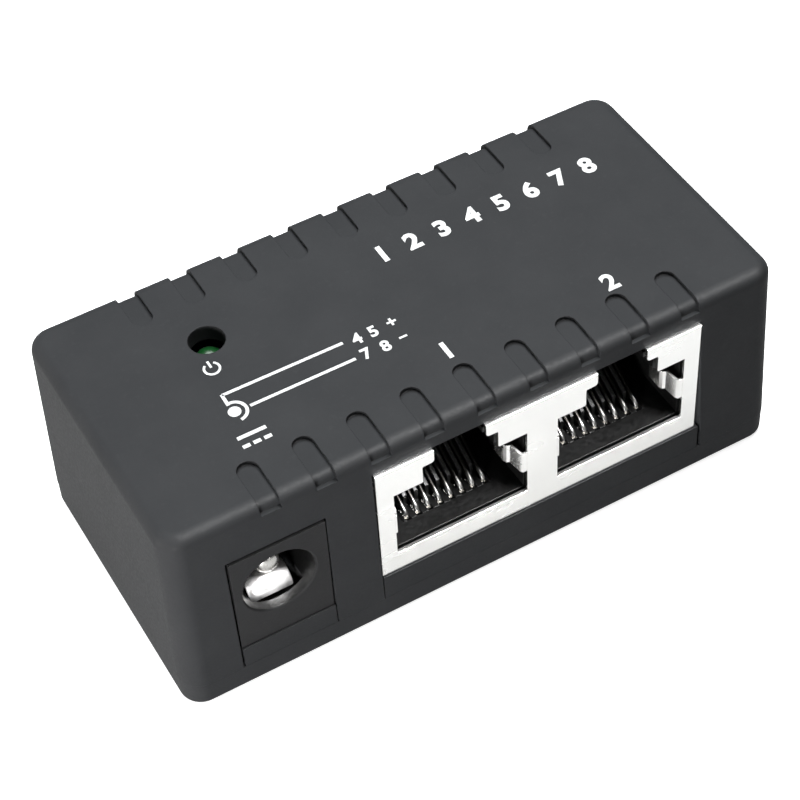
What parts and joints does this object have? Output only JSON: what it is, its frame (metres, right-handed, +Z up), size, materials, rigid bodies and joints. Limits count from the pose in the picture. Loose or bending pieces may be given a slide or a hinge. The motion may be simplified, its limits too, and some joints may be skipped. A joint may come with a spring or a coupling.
{
  "type": "power_injector",
  "caption": "Small black passive power-over-network injector: snap-together grooved case, shielded network sockets and a barrel power jack in one long side, indicator under a hole in the top.",
  "frame": {"origin": "middle of the underside", "axes": "+X along the case to the right seen from the socket side, +Y from the sockets to the plain back, +Z up"},
  "size_m": [0.0548, 0.0266, 0.0194],
  "materials": {
    "case_plastic": "fine-textured black moulded plastic",
    "insert_plastic": "smooth black moulded plastic",
    "nickel": "nickel-plated folded sheet",
    "spring_metal": "plated spring wire and strip",
    "solder_mask": "green solder mask on glass-fibre board",
    "lamp_resin": "clear green resin",
    "component_black": "moulded black resin",
    "ceramic": "glazed ceramic chip",
    "capacitor_sleeve": "shrunk plastic sleeve"
  },
  "bodies": {
    "injector": {"top_cover": "case_plastic", "base_plate": "case_plastic", "circuit_board": "solder_mask", "rj45_shield": "nickel", "rj45_housing": "insert_plastic", "dc_jack_body": "insert_plastic", "poe_tail_1": "spring_metal", "poe_tail_2": "spring_metal", "poe_tail_3": "spring_metal", "poe_tail_4": "spring_metal", "poe_tail_5": "spring_metal", "poe_tail_6": "spring_metal", "poe_tail_7": "spring_metal", "poe_tail_8": "spring_metal", "lan_tail_1": "spring_metal", "lan_tail_2": "spring_metal", "lan_tail_3": "spring_metal", "lan_tail_4": "spring_metal", "lan_tail_5": "spring_metal", "lan_tail_6": "spring_metal", "lan_tail_7": "spring_metal", "lan_tail_8": "spring_metal", "dc_center_pin": "spring_metal", "dc_sleeve_lead": "spring_metal", "dc_switch_lead": "spring_metal", "led_anode_lead": "spring_metal", "led_cathode_lead": "spring_metal", "power_led": "lamp_resin", "pulse_transformer": "component_black", "protection_diode": "component_black", "led_resistor": "ceramic", "input_capacitor": "capacitor_sleeve"},
    "poe_contact_row": {"poe_contact_1": "spring_metal", "poe_contact_2": "spring_metal", "poe_contact_3": "spring_metal", "poe_contact_4": "spring_metal", "poe_contact_5": "spring_metal", "poe_contact_6": "spring_metal", "poe_contact_7": "spring_metal", "poe_contact_8": "spring_metal"},
    "lan_contact_row": {"lan_contact_1": "spring_metal", "lan_contact_2": "spring_metal", "lan_contact_3": "spring_metal", "lan_contact_4": "spring_metal", "lan_contact_5": "spring_metal", "lan_contact_6": "spring_metal", "lan_contact_7": "spring_metal", "lan_contact_8": "spring_metal"},
    "dc_sleeve_leaf": {"dc_sleeve_spring": "spring_metal"}
  },
  "joints": [
    {"name": "poe_contact_press", "type": "hinge", "parent": "injector", "child": "poe_contact_row", "pos_m": [-0.0025, -0.01016, 0.00725], "axis": [1, 0, 0], "range_deg": [-12, 0], "stiffness_Nm_per_rad": 0.1},
    {"name": "lan_contact_press", "type": "hinge", "parent": "injector", "child": "lan_contact_row", "pos_m": [0.0122, -0.01016, 0.00725], "axis": [1, 0, 0], "range_deg": [-12, 0], "stiffness_Nm_per_rad": 0.1},
    {"name": "dc_sleeve_press", "type": "hinge", "parent": "injector", "child": "dc_sleeve_leaf", "pos_m": [-0.0185, -0.00436, 0.0071], "axis": [1, 0, 0], "range_deg": [0, 10], "stiffness_Nm_per_rad": 0.1}
  ]
}
